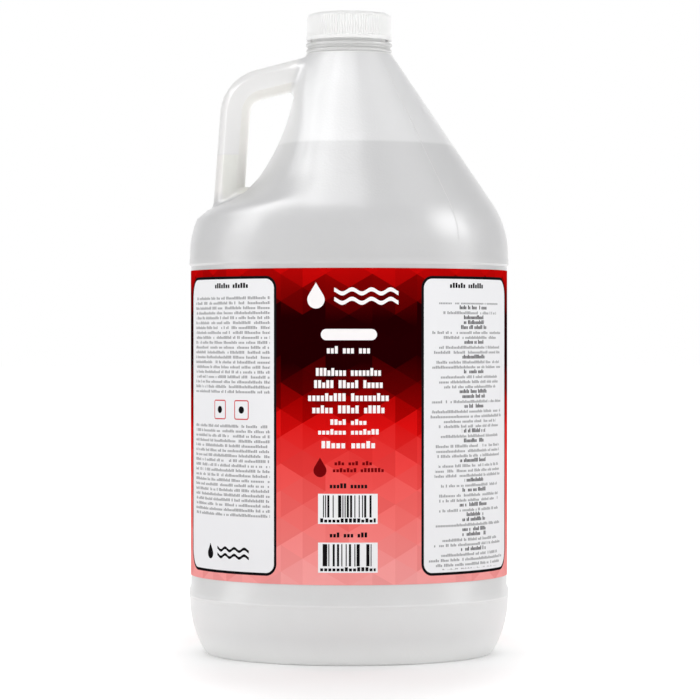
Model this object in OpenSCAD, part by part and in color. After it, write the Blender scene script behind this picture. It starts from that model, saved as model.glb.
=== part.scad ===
// Round four litre bleach bottle with a moulded handle, ribbed screw cap and wrap-around label.
// Origin on the floor under the bottle's axis, +Z up, handle towards -X, front of the label towards -Y.

/* [Body] */
// Outer diameter of the body at its two bumper bands
body_d = 154; // [150:0.5:158]
// Wall of the blown body and handle
wall = 1.2; // [0.8:0.1:1.6]
// Height of the heel, where its curve runs into the lower bumper band
heel_h = 27; // [24:0.5:30]
// Radius of the heel's curve in section
heel_arc_r = 50; // [44:1:60]
// Radius of the small corner between the heel and the foot
foot_corner_r = 2.5; // [2:0.25:4]
// Width of the flat foot ring
foot_ring_w = 5.5; // [4:0.5:8]
// How far the middle of the base is pushed up
push_up = 8; // [5:0.5:11]
// Height of the lower bumper band
bumper_h = 4; // [3:0.5:6]
// Height of the recessed label panel
panel_h = 153; // [140:1:160]
// How far the label panel is set in from the bumper bands
panel_recess = 0.8; // [0.6:0.1:1.2]
// Height of the lip between the label panel and the shoulder
lip_h = 2.5; // [2:0.25:4]

/* [Shoulder] */
// Height of the sharp corner that the body and the cone would make
cone_corner_rise = 15.7; // [15:0.1:18]
// Half angle of the cone, from upright
cone_angle = 34; // [32:0.5:36]
// Radius of the shoulder's curve in section
shoulder_r = 44; // [38:1:46]
// How far the top of the cone stands out from the neck's wall
neck_base_out = 3.05; // [2.8:0.05:4]

/* [Finger scoop] */
// How far below the neck the scoop's upper curve starts
scoop_start_drop = 26.7; // [24:0.5:30]
// Radius of the scoop wall on the handle side, where that curve starts
scoop_start_r = 28.2; // [27:0.1:29.5]
// Slope of the scoop wall above the curve, from upright
scoop_top_angle = 14.5; // [12:0.5:17]
// Slope of the scoop where its upper and lower curves meet
scoop_mid_angle = 35; // [32:1:38]
// Slope of the ledge that the grip stands on
scoop_ledge_angle = 68; // [64:1:70]
// Radius of the upper curve
scoop_upper_r = 100; // [92:1:108]
// Radius of the lower curve
scoop_lower_r = 36; // [32:1:40]
// Radius of the scoop wall in plan
scoop_plan_r = 90; // [80:1:110]
// Width of the soft blend between the scoop and the cone
scoop_blend = 5; // [3:0.5:7]

/* [Handle] */
// Thickness of the handle, across its arm and grip
handle_t = 14.6; // [13:0.2:16]
// Width of the handle from front to back
handle_w = 23; // [20:0.5:26]
// How far the handle's outer corner stays inside the body's outer line
handle_inset = 15.9; // [14:0.1:19]
// How far below the neck the arm's upper edge starts
arm_drop = 1.3; // [1:0.1:2.5]
// Slope of the arm below level
arm_angle = 14.2; // [12:0.2:17]
// Lean of the grip from upright
grip_lean = 4.1; // [3:0.1:5]
// Radius of the handle's outer corner
handle_outer_r = 23; // [20:0.5:26]
// Radius of the handle's inner corner
handle_inner_r = 7.5; // [6:0.5:10]
// Radius of the fillets where the handle meets the body
root_fillet = 3; // [2:0.25:3.5]

/* [Neck] */
// Height of the neck from the cone to its lip
neck_h = 17.4; // [16:0.2:20]
// Diameter of the mouth
bore_d = 30.5; // [29:0.1:31.5]
// Thickness of the neck's wall
neck_wall = 2.3; // [1.8:0.1:2.6]
// How far the larger, upper ring stands out from the neck's wall
upper_ring_out = 3.35; // [3.1:0.05:4]
// How far the lower ring stands out from the neck's wall
lower_ring_out = 3.15; // [3:0.05:4]
// How far the groove between the rings stands out from the neck's wall
ring_groove_out = 2.4; // [2:0.1:2.6]
// Height of the lower ring above the cone
lower_ring_rise = 1.4; // [1.2:0.1:1.8]
// Height of the upper ring above the cone
upper_ring_rise = 4.3; // [3.8:0.1:4.8]
// Radius of each ring in section
ring_r = 0.9; // [0.7:0.05:1]

/* [Cap] */
// Gap between the upper neck ring and the cap's rim
cap_gap = 1.2; // [0.6:0.1:2]
// Thickness of the cap's top
cap_top = 1.3; // [1:0.1:1.8]
// Thickness of the cap's skirt at its rim
skirt_t = 1.65; // [1.4:0.05:2]
// Room for the threads between the neck's wall and the skirt
thread_room = 1.45; // [1.2:0.05:1.8]
// Number of grip ribs
rib_count = 100; // [60:2:120]
// Depth of the ribs
rib_depth = 0.4; // [0.2:0.05:0.5]
// Height of the smooth rim under the ribs
rim_h = 1.8; // [1:0.1:2.5]
// How far the ribs stay inside the rim's radius
rib_inset = 0.1; // [0.05:0.05:0.3]
// Radius of the cap's top edge
cap_edge_r = 3; // [2:0.25:4]
// Thickness of the sealing disc
liner_t = 0.9; // [0.6:0.1:1.2]
// Clearance round the sealing disc
liner_gap = 0.2; // [0.1:0.05:0.4]

/* [Label] */
// Thickness of the label film
label_t = 0.15; // [0.1:0.05:0.2]
// Gap between the lower step of the panel and the label
label_rise = 5; // [3:0.25:20]
// Gap between the label and the upper step of the panel
label_drop = 2; // [1:0.25:20]
// Length of the overlap at the back seam
label_overlap = 8; // [6:1:15]

/* [Liquid] */
// Height of the liquid's surface above the floor
liquid_level = 244.7; // [228:0.1:258]
// Gap between the liquid's solid and the wall round it
liquid_gap = 0.3; // [0.2:0.05:0.5]

/* [Hidden] */
$fn = 96;
body_r = body_d / 2;
panel_r = body_r - panel_recess;
heel_edge = 0.2;
step_h = 2;
step_out_h = 1;
lip_edge = 0.1;
panel_z = heel_h + bumper_h + step_h;
panel_top_z = panel_z + panel_h;
seam_z = panel_top_z + step_out_h + lip_h;
label_h = panel_h - label_rise - label_drop;

// The shoulder starts this far inside the body under it, so that the two are one wall.
seam_lap = 0.5;
top_start_z = seam_z - seam_lap;

// The shoulder's curve is tangent to the upright wall and to the cone.
shoulder_edge_r = body_r - lip_edge;
curve_z = seam_z + cone_corner_rise - shoulder_r * tan(cone_angle / 2);
curve_cx = shoulder_edge_r - shoulder_r;
finish_d = bore_d + 2 * neck_wall;
neck_base_r = finish_d / 2 + neck_base_out;
neck_z = curve_z + (shoulder_r - (neck_base_r - curve_cx) * cos(cone_angle)) / sin(cone_angle);

// The scoop's section on the handle side is a line, two tangent arcs and a line.
function normal(angle) = [cos(angle), sin(angle)];
scoop_p1 = [scoop_start_r, neck_z - scoop_start_drop];
scoop_c1 = scoop_p1 + scoop_upper_r * normal(scoop_top_angle);
scoop_p2 = scoop_c1 - scoop_upper_r * normal(scoop_mid_angle);
scoop_c2 = scoop_p2 + scoop_lower_r * normal(scoop_mid_angle);
scoop_p3 = scoop_c2 - scoop_lower_r * normal(scoop_ledge_angle);
// The blend between scoop and cone fades over this height under the neck, to this share of its width.
blend_fade_h = 25;
blend_least = 0.04;

// The handle's two edges, as distances from the axis and heights.
handle_reach = body_r - handle_inset;
handle_corner = [handle_reach, neck_z - arm_drop - (handle_reach - neck_base_r) * tan(arm_angle)];
arm_dir = [cos(arm_angle), -sin(arm_angle)];
grip_dir = [sin(grip_lean), -cos(grip_lean)];
handle_turn = 90 - grip_lean - arm_angle;
inner_corner = handle_corner
    - handle_t * ([-arm_dir[1], arm_dir[0]] + [-grip_dir[1], grip_dir[0]]) / (1 + cos(handle_turn));
oval_power = 2.6;
arm_steps = 2;
corner_steps = 7;
grip_steps = 4;
fillet_stations = [0.15, 0.45];

// The blown skin is a grid of columns round the axis and rows up it, with a window at each handle root.
column_count = 64;
window_steps = 2;
arm_window_drop = 0.9;
ring_point_count = 16;
shoulder_row_count = 6;
middle_row_count = 9;
liquid_row_count = 4;

cap_bore_d = finish_d + 2 * thread_room;
cap_d = cap_bore_d + 2 * skirt_t;
liner_z = neck_z + neck_h;
cap_z = neck_z + upper_ring_rise + ring_r + cap_gap;
cap_h = liner_z + liner_t + cap_top - cap_z;
body_white = "#eef0f0";
cap_white = "#f4f4f2";
label_red = "#c8202a";
bleach_tint = "#e9ecdc";
liner_grey = "#e2e2e0";

// A minimum whose corner is rounded over a width k.
function soft_min(a, b, k) = min(a, b) - pow(max(k - abs(a - b), 0), 2) / (4 * k);

// Radius of the shoulder and cone at height z, set in by d along the wall's normal.
function cone_r(z, d) =
    z < curve_z ? shoulder_edge_r - d
    : z < curve_z + (shoulder_r - d) * sin(cone_angle)
        ? curve_cx + sqrt(pow(shoulder_r - d, 2) - pow(z - curve_z, 2))
        : curve_cx + (shoulder_r - d - (z - curve_z) * sin(cone_angle)) / cos(cone_angle);

// Distance of the scoop wall from the axis on the handle side.
function scoop_r(z, d) =
    z > scoop_c1[1] - (scoop_upper_r + d) * sin(scoop_top_angle)
        ? scoop_p1[0] - (d + (z - scoop_p1[1]) * sin(scoop_top_angle)) / cos(scoop_top_angle)
    : z > scoop_c1[1] - (scoop_upper_r + d) * sin(scoop_mid_angle)
        ? scoop_c1[0] - sqrt(pow(scoop_upper_r + d, 2) - pow(z - scoop_c1[1], 2))
    : z > scoop_c2[1] - (scoop_lower_r + d) * sin(scoop_ledge_angle)
        ? scoop_c2[0] - sqrt(pow(scoop_lower_r + d, 2) - pow(z - scoop_c2[1], 2))
        : scoop_p3[0] - (d + (z - scoop_p3[1]) * sin(scoop_ledge_angle)) / cos(scoop_ledge_angle);

// The scoop wall's distance from the axis at an angle from the handle side, from its arc in plan.
function scoop_plan(angle, near_r, d) =
    let (arc_r = scoop_plan_r - d, centre = max(0, arc_r - near_r))
    sqrt(pow(arc_r, 2) - pow(centre * sin(angle), 2)) - centre * cos(angle);

// Radius of the blown skin at an angle from the handle side, set in by d.
function skin_r(angle, z, d) =
    soft_min(cone_r(z, d), scoop_plan(angle, scoop_r(z, d), d),
        scoop_blend * max(blend_least, min(1, (neck_z - z) / blend_fade_h)));

// A point at an angle from the handle side, which is -X.
function polar(r, angle, z) = [-r * cos(angle), -r * sin(angle), z];

// The height between low and high at which f turns from positive to negative, by halving.
function crossing(f, low, high, tries = 24) =
    let (mid = (low + high) / 2)
    tries == 0 ? mid
    : f(mid) > 0 ? crossing(f, mid, high, tries - 1) : crossing(f, low, mid, tries - 1);

// The height at which the skin on the handle side has a given radius.
function skin_z(r, d) = crossing(function(z) skin_r(0, z, d) - r, seam_z, neck_z);

// Points of the arm's and the grip's edges, from the corner that they make.
function arm_edge(x, corner) = [x, corner[1] + (corner[0] - x) * tan(arm_angle)];
function grip_edge(z, corner) = [corner[0] + (corner[1] - z) * tan(grip_lean), z];
function arm_edge_x(z, corner) = corner[0] - (z - corner[1]) / tan(arm_angle);

// Where the edges leave the body, at the arm's root and at the grip's.
function arm_root_z(corner) =
    crossing(function(z) arm_edge_x(z, corner) - skin_r(0, z, 0), corner[1], neck_z);
function grip_root_z(corner) =
    crossing(function(z) skin_r(0, z, 0) - grip_edge(z, corner)[0], seam_z, corner[1]);
arm_outer_r = arm_edge_x(arm_root_z(handle_corner), handle_corner);
arm_inner_z = arm_root_z(inner_corner);
arm_inner_r = arm_edge_x(arm_inner_z, inner_corner);
grip_outer_z = grip_root_z(handle_corner);
grip_inner_z = grip_root_z(inner_corner);
grip_outer_r = grip_edge(grip_outer_z, handle_corner)[0];
grip_inner_r = grip_edge(grip_inner_z, inner_corner)[0];

// Half sizes and middles of the windows that the handle grows from, for a skin set in by d.
arm_window_top = neck_z - arm_window_drop;
arm_window_low = arm_inner_z - root_fillet;
function arm_window_z(u, d) =
    (arm_window_top + arm_window_low) / 2 + u * ((arm_window_top - arm_window_low) / 2 - d);
function grip_window_z(u, d) =
    skin_z((grip_outer_r + grip_inner_r) / 2
        + u * ((grip_outer_r - grip_inner_r) / 2 + root_fillet - d), d);
function window_half_w(d) = handle_w / 2 + root_fillet - d;

// An oval with flattened sides: point k of ring_point_count, as [towards the handle's outside, across].
function oval_part(s) = sign(s) * pow(abs(s), 2 / oval_power);
function oval(k) = [oval_part(cos(360 * k / ring_point_count)), oval_part(sin(360 * k / ring_point_count))];

// A path of [x, z] points along one edge: the arm, the rounded corner and the grip.
function edge_path(start, corner, end, r) =
    let (
        reach = r * tan(handle_turn / 2),
        t1 = corner - reach * arm_dir,
        t2 = corner + reach * grip_dir,
        centre = t1 + r * [arm_dir[1], -arm_dir[0]]
    )
    concat(
        [for (i = [0:arm_steps - 1]) start + (t1 - start) * i / arm_steps],
        [for (i = [0:corner_steps])
            let (a = -arm_angle - handle_turn * i / corner_steps)
            centre + r * [-sin(a), cos(a)]],
        [for (i = [1:grip_steps]) t2 + (end - t2) * i / grip_steps]
    );
arm_start_gap = 1;
outer_edge = edge_path(arm_edge(arm_outer_r + root_fillet + arm_start_gap, handle_corner), handle_corner,
    grip_edge(grip_outer_z + root_fillet, handle_corner), handle_outer_r);
inner_edge = edge_path(arm_edge(arm_inner_r + root_fillet, inner_corner), inner_corner,
    grip_edge(grip_inner_z + root_fillet, inner_corner), handle_inner_r);
last_station = len(outer_edge) - 1;

// One ring of the handle between a point on its outer edge and one on its inner edge.
function handle_ring(out, in, d) =
    let (
        middle = (out + in) / 2,
        half = (out - in) / 2,
        scale_t = 1 - d / norm(half)
    )
    [for (k = [0:ring_point_count - 1])
        let (o = oval(k), p = middle + half * scale_t * o[0])
        [-p[0], -(handle_w / 2 - d) * o[1], p[1]]];

// Rings of a quarter-round fillet from a ring on the body to the first ring of the handle.
function fillet_rings(foot, first, dir) =
    [for (s = fillet_stations)
        [for (k = [0:ring_point_count - 1])
            let (
                reach = foot[k] - first[k],
                along = (reach * dir) * dir,
                spread = reach - along
            )
            first[k] + (1 - s) * along + (1 - sqrt(1 - pow(1 - s, 2))) * spread]];

// The ring of skin points round a window. Its outer side is the upper one at the arm, the lower at the grip.
function arm_foot(d) =
    [for (k = [0:ring_point_count - 1])
        let (o = oval(k), z = arm_window_z(o[0], d)) skin_point(o[1] * window_half_w(d), z, d)];
function grip_foot(d) =
    [for (k = [0:ring_point_count - 1])
        let (o = oval(k), z = grip_window_z(o[0], d)) skin_point(o[1] * window_half_w(d), z, d)];

// A skin point a distance across from the handle's plane.
function across_angle(across, z, d) = asin(across / skin_r(0, z, d));
function skin_point(across, z, d) =
    let (a = across_angle(across, z, d)) polar(skin_r(a, z, d), a, z);

// Grid place of point k of a window's edge, in columns and rows from the window's middle.
function clip(v) = max(-window_steps, min(window_steps, v));
function edge_column(k) = clip(k <= 12 ? 4 - abs(k - 4) : k - ring_point_count);
function edge_row(k) = clip(abs(8 - k) - 4);

// Row heights from the shoulder's start up, for a skin set in by d.
function lower_rows(d) = concat(
    [for (i = [0:shoulder_row_count - 1])
        top_start_z + (grip_window_z(1, d) - top_start_z) * i / shoulder_row_count],
    [for (i = [-window_steps:window_steps]) grip_window_z(-i / window_steps, d)]);
function upper_rows(d) = concat(
    [for (i = [1:middle_row_count - 1])
        let (low = grip_window_z(-1, d)) low + (arm_window_z(-1, d) - low) * i / middle_row_count],
    [for (i = [-window_steps:window_steps]) arm_window_z(i / window_steps, d)],
    [neck_z]);
function liquid_top_rows(d) =
    [for (i = [1:liquid_row_count])
        let (low = grip_window_z(-1, d)) low + (liquid_level - low) * i / liquid_row_count];
grip_row = shoulder_row_count + window_steps;
arm_row = shoulder_row_count + 2 * window_steps + middle_row_count + window_steps;

// Angle of a column: the first few keep a fixed distance across, and the rest share what is left.
function column_angle(j, z, d) =
    let (edge = across_angle(window_half_w(d), z, d))
    j <= window_steps ? across_angle(window_half_w(d) * j / window_steps, z, d)
    : j >= column_count - window_steps
        ? -across_angle(window_half_w(d) * (column_count - j) / window_steps, z, d)
        : edge + (360 - 2 * edge) * (j - window_steps) / (column_count - 2 * window_steps);

function signed_column(j) = j <= column_count / 2 ? j : j - column_count;
function on_window(i, j, row) =
    max(abs(i - row), abs(signed_column(j))) == window_steps;
function ring_place(i, j, row, up) =
    [for (k = [0:ring_point_count - 1])
        if (edge_column(k) == signed_column(j) && up * edge_row(k) == i - row) k][0];

// All skin points, row by row. Points on a window's edge lie on its oval.
function skin_points(rows, d, arm) =
    let (grip_ring = grip_foot(d), arm_ring = arm ? arm_foot(d) : [])
    [for (i = [0:len(rows) - 1], j = [0:column_count - 1])
        on_window(i, j, grip_row) ? grip_ring[ring_place(i, j, grip_row, -1)]
        : arm && on_window(i, j, arm_row) ? arm_ring[ring_place(i, j, arm_row, 1)]
        : let (a = column_angle(j, rows[i], d)) polar(skin_r(a, rows[i], d), a, rows[i])];

function inside_window(i, j, row) =
    i >= row - window_steps && i < row + window_steps
    && signed_column(j) >= -window_steps && signed_column(j) < window_steps;
function quad(a, b, c, d) = [[a, b, c], [a, c, d]];
function flat(lists) = [for (list = lists) each list];
function turned(faces) = [for (f = faces) [f[2], f[1], f[0]]];

// Faces of the skin, without the windows, in the order that points them outwards.
function skin_faces(row_count, arm) = flat(
    [for (i = [0:row_count - 2], j = [0:column_count - 1])
        if (!inside_window(i, j, grip_row) && !(arm && inside_window(i, j, arm_row)))
            let (n = (j + 1) % column_count, low = i * column_count, high = low + column_count)
            quad(low + j, high + j, high + n, low + n)]);

// Point numbers of a window's edge in the skin's grid.
function window_ring(row, up) =
    [for (k = [0:ring_point_count - 1])
        (row + up * edge_row(k)) * column_count + (edge_column(k) + column_count) % column_count];
function new_ring(start, s) = [for (k = [0:ring_point_count - 1]) start + s * ring_point_count + k];
function tube_faces(rings) = flat(
    [for (s = [0:len(rings) - 2], k = [0:ring_point_count - 1])
        let (n = (k + 1) % ring_point_count)
        quad(rings[s][k], rings[s][n], rings[s + 1][n], rings[s + 1][k])]);

// The handle's rings from the arm's root to the grip's.
arm_axis = [-arm_dir[0], 0, arm_dir[1]];
grip_axis = [-grip_dir[0], 0, grip_dir[1]];
function reversed(list) = [for (i = [len(list) - 1:-1:0]) list[i]];
function grip_root_rings(d) =
    let (last = handle_ring(outer_edge[last_station], inner_edge[last_station], d))
    concat([last], reversed(fillet_rings(grip_foot(d), last, grip_axis)));
function handle_rings(d) =
    let (first = handle_ring(outer_edge[0], inner_edge[0], d))
    concat(
        fillet_rings(arm_foot(d), first, arm_axis),
        [for (s = [0:last_station - 1]) handle_ring(outer_edge[s], inner_edge[s], d)],
        grip_root_rings(d));

// Points and faces of one skin with its handle, numbered from start.
function handled_skin(d) =
    let (
        rows = concat(lower_rows(d), upper_rows(d)),
        rings = handle_rings(d),
        grid = len(rows) * column_count
    )
    [
        concat(skin_points(rows, d, true), flat(rings)),
        concat(
            skin_faces(len(rows), true),
            tube_faces(concat(
                [window_ring(arm_row, 1)],
                [for (s = [0:len(rings) - 1]) new_ring(grid, s)],
                [window_ring(grip_row, -1)]))),
        len(rows)
    ];
function shifted(faces, by) = [for (f = faces) [for (v = f) v + by]];
function end_ring(outer_start, inner_start) = flat(
    [for (j = [0:column_count - 1])
        let (n = (j + 1) % column_count)
        quad(outer_start + j, outer_start + n, inner_start + n, inner_start + j)]);

// The blown shoulder, cone, scoop and hollow handle, open at both ends.
module blown_top() {
    outer = handled_skin(0);
    inner = handled_skin(wall);
    inner_start = len(outer[0]);
    last_row = (outer[2] - 1) * column_count;
    polyhedron(
        points = concat(outer[0], inner[0]),
        faces = concat(
            outer[1],
            shifted(turned(inner[1]), inner_start),
            end_ring(0, inner_start),
            turned(end_ring(last_row, inner_start + last_row))));
}

// Section of the base and label panel, set in by d, from the axis to the seam.
heel_angle = asin((heel_h - foot_corner_r) / (heel_arc_r - foot_corner_r));
heel_cx = body_r - heel_edge - heel_arc_r;
foot_outer_r = heel_cx + (heel_arc_r - foot_corner_r) * cos(heel_angle);
foot_inner_r = foot_outer_r - foot_ring_w;
foot_sum = (pow(foot_inner_r, 2) + pow(push_up, 2)) / (2 * push_up);
foot_arc_r = 5;
dome_r = foot_sum - foot_arc_r;
dome_angle = asin(foot_inner_r / foot_sum);
arc_steps = 6;
function body_section(d) = concat(
    [for (i = [0:arc_steps])
        let (t = dome_angle * i / arc_steps)
        [(dome_r + d) * sin(t), push_up - dome_r + (dome_r + d) * cos(t)]],
    [for (i = [arc_steps - 1:-1:0])
        let (t = dome_angle * i / arc_steps)
        [foot_inner_r - (foot_arc_r - d) * sin(t), foot_arc_r - (foot_arc_r - d) * cos(t)]],
    [for (i = [0:arc_steps])
        let (t = (90 - heel_angle) * i / arc_steps, r = foot_corner_r - d)
        [foot_outer_r + r * sin(t), foot_corner_r - r * cos(t)]],
    [for (i = [1:2 * arc_steps])
        let (s = heel_angle * (1 - i / (2 * arc_steps)), r = heel_arc_r - d)
        [heel_cx + r * cos(s), heel_h - r * sin(s)]],
    [
        [body_r - d, heel_h + heel_edge],
        [body_r - d, heel_h + bumper_h],
        [panel_r - d, panel_z],
        [panel_r - d, panel_top_z],
        [body_r - d, panel_top_z + step_out_h],
        [body_r - d, seam_z]
    ]);

module blown_base() {
    rotate_extrude() polygon(concat(body_section(0), reversed(body_section(wall))));
}

// Neck with its two rings, its wall and its mouth.
ring_steps = 8;
lower_ring_z = neck_z + lower_ring_rise;
upper_ring_z = neck_z + upper_ring_rise;
flare_h = 2.6;
flare_z = upper_ring_z + flare_h;
lip_bevel = 0.5;
finish_fillet = 0.8;
neck_lap = 0.1;
function ring_bulge(out, z) =
    [for (i = [0:ring_steps])
        let (t = 180 * i / ring_steps - 90)
        [finish_d / 2 + out - ring_r * (1 - cos(t)), z + ring_r * sin(t)]];
module neck() {
    rotate_extrude() polygon(concat(
        [[neck_base_r + neck_lap, neck_z]],
        ring_bulge(lower_ring_out, lower_ring_z),
        [[finish_d / 2 + ring_groove_out, (lower_ring_z + upper_ring_z) / 2]],
        ring_bulge(upper_ring_out, upper_ring_z),
        [
            [finish_d / 2 + finish_fillet, upper_ring_z + ring_r],
            [finish_d / 2, upper_ring_z + ring_r + finish_fillet],
            [finish_d / 2, liner_z - lip_bevel],
            [finish_d / 2 - lip_bevel, liner_z],
            [bore_d / 2, liner_z],
            [bore_d / 2, flare_z],
            [(bore_d / 2 + neck_base_r) / 2, (flare_z + neck_z) / 2],
            [neck_base_r - wall - neck_lap, neck_z]
        ]));
}

module bottle() {
    color(body_white) {
        blown_base();
        blown_top();
        neck();
    }
}

// Bleach up to its level in the body and in the hollow grip, as one solid.
liquid_inset = wall + liquid_gap;
module liquid() {
    rows = concat(lower_rows(liquid_inset), liquid_top_rows(liquid_inset));
    grid = len(rows) * column_count;
    root = grip_root_rings(liquid_inset);
    top = handle_ring(grip_edge(liquid_level, handle_corner), grip_edge(liquid_level, inner_corner),
        liquid_inset);
    rings = concat([top], root);
    middle = grid + len(rings) * ring_point_count;
    last_row = (len(rows) - 1) * column_count;
    color(bleach_tint) {
        rotate_extrude() polygon(concat(body_section(liquid_inset), [[0, seam_z]]));
        polyhedron(
            points = concat(skin_points(rows, liquid_inset, false), flat(rings),
                [[0, 0, top_start_z], [0, 0, liquid_level]]),
            faces = concat(
                skin_faces(len(rows), false),
                tube_faces(concat(
                    [for (s = [0:len(rings) - 1]) new_ring(grid, s)],
                    [window_ring(grip_row, -1)])),
                [reversed(new_ring(grid, 0))],
                [for (j = [0:column_count - 1]) [middle, j, (j + 1) % column_count]],
                [for (j = [0:column_count - 1])
                    [middle + 1, last_row + (j + 1) % column_count, last_row + j]]));
    }
}

// Film label round the recessed panel, with its overlap at the back.
module label() {
    overlap_angle = label_overlap / panel_r * 180 / PI;
    color(label_red) translate([0, 0, panel_z + label_rise]) {
        rotate_extrude() translate([panel_r, 0]) square([label_t, label_h]);
        rotate([0, 0, 90 - overlap_angle / 2]) rotate_extrude(angle = overlap_angle)
            translate([panel_r + label_t, 0]) square([label_t, label_h]);
    }
}

// Sealing disc between the cap's top and the neck's lip.
module cap_liner() {
    color(liner_grey) translate([0, 0, liner_z])
        cylinder(h = liner_t, d = cap_bore_d - 2 * liner_gap);
}

// Outline of the ribbed skirt, one wave for each rib. The form of the skirt cuts the waves' crests flat.
rib_r = cap_d / 2 - rib_inset;
rib_steps = 4;
crest_cut = 0.06;
module ribbed_outline() {
    polygon([for (i = [0:rib_count * rib_steps - 1])
        let (
            a = 360 * i / (rib_count * rib_steps),
            r = rib_r + crest_cut - (rib_depth + crest_cut) * (1 - cos(360 * i / rib_steps)) / 2
        )
        [r * cos(a), r * sin(a)]]);
}

// Outer form of the cap without its ribs, with its rounded top edge.
module cap_envelope(r) {
    rotate_extrude() polygon(concat(
        [[0, 0], [r, 0]],
        [for (i = [0:arc_steps])
            let (t = 90 * i / arc_steps)
            [r - cap_edge_r * (1 - cos(t)), cap_h - cap_edge_r * (1 - sin(t))]],
        [[0, cap_h]]));
}

module screw_cap() {
    color(cap_white) translate([0, 0, cap_z]) difference() {
        union() {
            cylinder(h = rim_h, d = cap_d);
            intersection() {
                cap_envelope(rib_r);
                linear_extrude(height = cap_h) ribbed_outline();
            }
        }
        translate([0, 0, -1]) cylinder(h = cap_h - cap_top + 1, d = cap_bore_d);
    }
}

bottle();
liquid();
label();
cap_liner();
screw_cap();
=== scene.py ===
"""Looks of the bleach bottle: milky wall, printed film label, threads, ribbed cap and studio."""

import math

import bmesh
import bpy
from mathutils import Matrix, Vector


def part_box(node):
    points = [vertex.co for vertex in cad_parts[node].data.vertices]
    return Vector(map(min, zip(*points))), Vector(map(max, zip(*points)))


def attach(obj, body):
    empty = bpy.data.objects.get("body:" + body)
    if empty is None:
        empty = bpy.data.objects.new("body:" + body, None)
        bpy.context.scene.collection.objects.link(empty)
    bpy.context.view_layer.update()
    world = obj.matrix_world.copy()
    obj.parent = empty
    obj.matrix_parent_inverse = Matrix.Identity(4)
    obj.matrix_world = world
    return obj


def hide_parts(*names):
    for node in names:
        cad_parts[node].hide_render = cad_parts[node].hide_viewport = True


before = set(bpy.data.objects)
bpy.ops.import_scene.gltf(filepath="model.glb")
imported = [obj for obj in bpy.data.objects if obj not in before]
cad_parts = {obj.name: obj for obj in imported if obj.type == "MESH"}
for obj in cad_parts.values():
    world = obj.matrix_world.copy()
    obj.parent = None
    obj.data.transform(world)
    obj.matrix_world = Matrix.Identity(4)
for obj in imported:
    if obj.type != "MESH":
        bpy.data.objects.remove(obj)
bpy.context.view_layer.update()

MM = 0.001

# Places read from the parts in model.glb, in millimetres
label_low, label_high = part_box("label")
label_r = -label_low.y / MM
label_bottom = label_low.z / MM
label_top = label_high.z / MM
liquid_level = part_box("liquid")[1].z / MM
cap_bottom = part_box("screw_cap")[0].z / MM
lip_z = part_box("cap_liner")[0].z / MM

# The camera stands level with the middle of the bottle, about a metre and a half away.
CAMERA_DISTANCE = 1.557
CAMERA_HEIGHT = 0.1522
CAMERA_SIDE = 0.0005
AIM_HEIGHT = 0.1459
FOCAL_PIXELS = 3221
IMAGE_PIXELS = 700
SENSOR_MM = 36


# The mix node has sockets for each kind of value. These are the ones for colours.
MIX_COLOURS = (6, 7)
MIX_RESULT = 2


class Wire:
    """One output of a shader node, with Python's operators on numbers."""

    def __init__(self, tree, socket):
        self.tree = tree
        self.socket = socket

    def math(self, operation, *others):
        values = [self, *others]
        return self.tree.node("Math", {"operation": operation}, dict(enumerate(values)))

    def __add__(self, other):
        return self.math("ADD", other)

    __radd__ = __add__

    def __sub__(self, other):
        return self.math("SUBTRACT", other)

    def __rsub__(self, other):
        return self.tree.node("Math", {"operation": "SUBTRACT"}, {0: other, 1: self})

    def __mul__(self, other):
        return self.math("MULTIPLY", other)

    __rmul__ = __mul__

    def __truediv__(self, other):
        return self.math("DIVIDE", other)

    def __mod__(self, other):
        return self.math("FLOORED_MODULO", other)

    def __lt__(self, other):
        return self.math("LESS_THAN", other)

    def __gt__(self, other):
        return self.math("GREATER_THAN", other)

    def __abs__(self):
        return self.math("ABSOLUTE")

    def floor(self):
        return self.math("FLOOR")

    def fraction(self):
        return self.math("FRACT")

    def root(self):
        return self.math("SQRT")

    def most(self, other):
        return self.math("MAXIMUM", other)


class Tree:
    """The nodes of a material or a world, with one method that makes any node."""

    def __init__(self, data):
        data.use_nodes = True
        self.nodes = data.node_tree.nodes
        self.links = data.node_tree.links

    def feed(self, socket, value):
        if isinstance(value, Wire):
            self.links.new(value.socket, socket)
        else:
            socket.default_value = value

    def node(self, kind, settings=None, inputs=None, output=0):
        """A node of a kind: its settings first, then the values or links of its sockets."""
        made = self.nodes.new("ShaderNode" + kind)
        for name, value in (settings or {}).items():
            if name == "stops":
                self.set_stops(made.color_ramp, value)
            elif name == "interpolation":
                made.color_ramp.interpolation = value
            else:
                setattr(made, name, value)
        for name, value in (inputs or {}).items():
            self.feed(made.inputs[name], value)
        return Wire(self, made.outputs[output])

    def set_stops(self, ramp, stops):
        while len(ramp.elements) < len(stops):
            ramp.elements.new(1.0)
        for element, (position, colour) in zip(ramp.elements, stops):
            element.position = position
            element.color = (*colour, 1.0)


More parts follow.
